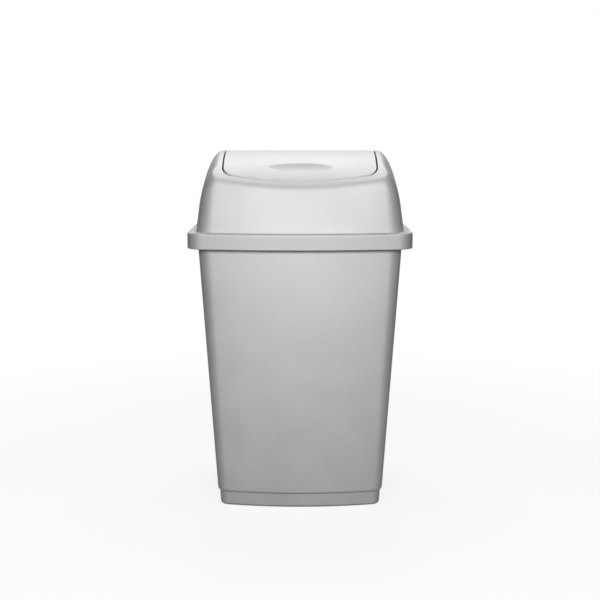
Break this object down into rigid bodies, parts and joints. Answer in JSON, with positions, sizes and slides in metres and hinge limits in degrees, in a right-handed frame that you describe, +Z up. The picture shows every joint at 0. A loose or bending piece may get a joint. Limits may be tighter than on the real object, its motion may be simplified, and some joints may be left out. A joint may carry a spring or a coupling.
{
  "type": "countertop trash can with swing lid",
  "caption": "Tapered plastic countertop bin with a lift-off hood, an overhanging collar and an arched flap that swings both ways.",
  "frame": {"origin": "middle of the bin's footprint on the surface it stands on, z = 0 at the standing ring", "axes": "+Z up along the bin's height, -Y towards the front with the finger recess, +X to the right seen from the front"},
  "size_m": [0.26, 0.22, 0.424],
  "materials": {
    "bin_plastic": "satin silver-grey, fine vertical grain",
    "lid_plastic": "satin silver-grey",
    "flap_plastic": "satin silver-grey",
    "pin_plastic": "plain moulded grey"
  },
  "bodies": {
    "bin": {"bin_body": "bin_plastic"},
    "lid": {"lid_hood": "lid_plastic"},
    "flap": {"swing_flap": "flap_plastic", "pivot_pin_left": "pin_plastic", "pivot_pin_right": "pin_plastic"}
  },
  "joints": [
    {"name": "lid_lift", "type": "slide", "parent": "bin", "child": "lid", "axis": [0, 0, 1], "range_m": [0, 0.06]},
    {"name": "flap_swing", "type": "hinge", "parent": "lid", "child": "flap", "pos_m": [0, 0, 0.414], "axis": [1, 0, 0], "range_deg": [-75, 75]}
  ]
}
